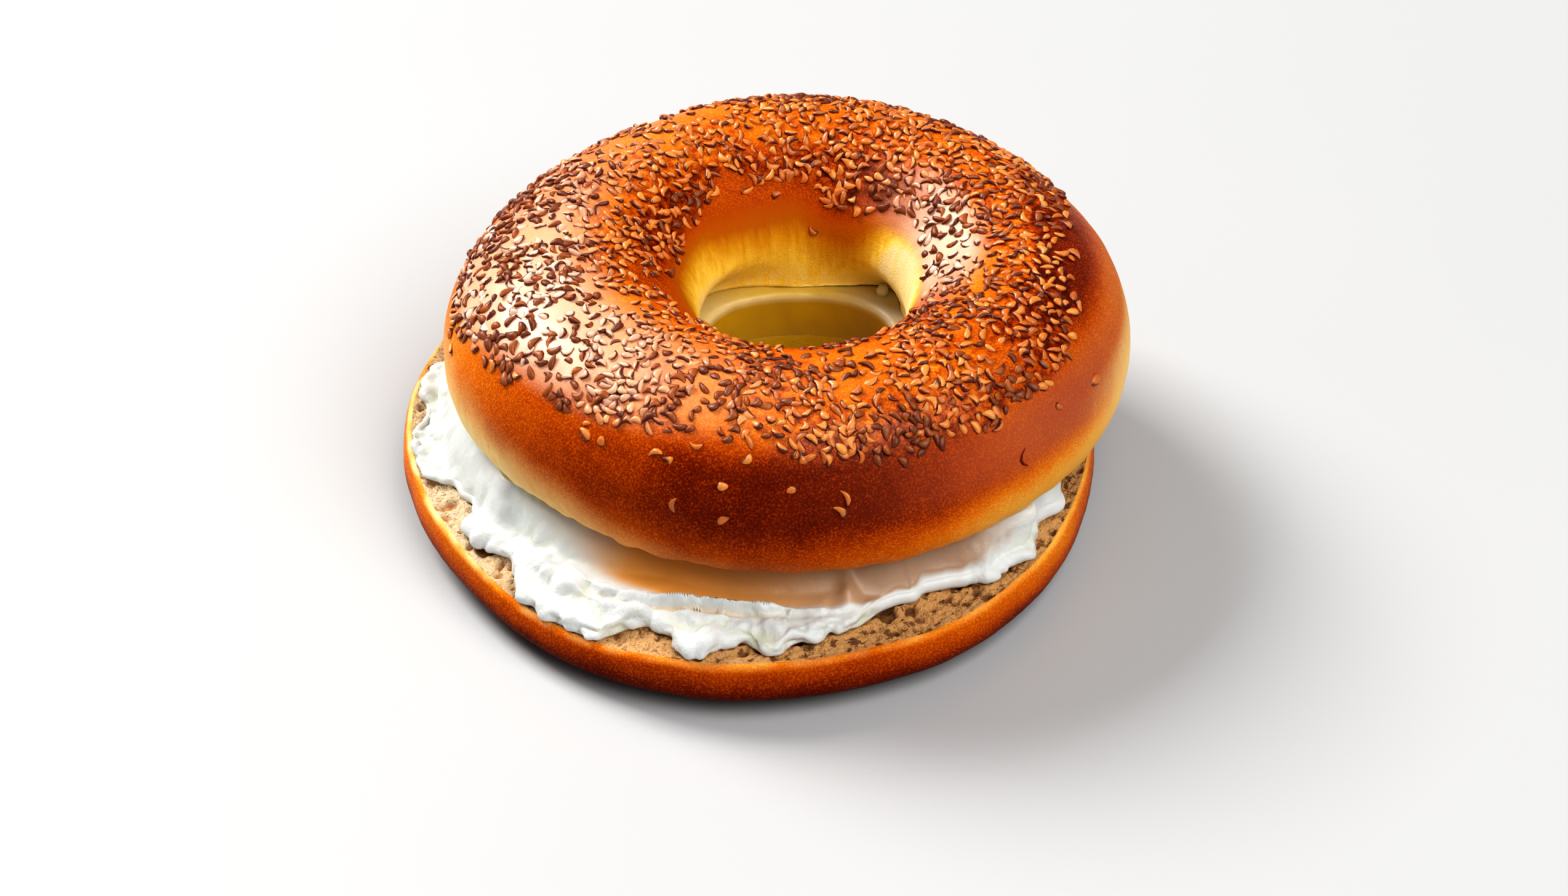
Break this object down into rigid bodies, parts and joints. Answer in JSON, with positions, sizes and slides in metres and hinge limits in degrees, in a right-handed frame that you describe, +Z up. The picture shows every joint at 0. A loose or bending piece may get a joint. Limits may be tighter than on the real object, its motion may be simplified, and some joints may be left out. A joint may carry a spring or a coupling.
{
  "type": "filled seeded bagel",
  "caption": "Seeded bagel cut across and filled with a thick ragged layer of cream cheese, its round hole open right through.",
  "frame": {"origin": "middle of the bagel in plan, at its flat underside", "axes": "+Z up through the hole; the crown sits a little towards +X and the hole a little towards +Y"},
  "size_m": [0.1276, 0.1302, 0.0473],
  "materials": {
    "crust": "baked crust, satin with a soft shine",
    "cream_cheese": "soft white spread, smooth where the knife passed",
    "seed": "toasted sesame, slightly glossy"
  },
  "bodies": {
    "root": {"crown": "crust", "cream_cheese": "cream_cheese", "heel": "crust"}
  },
  "joints": []
}
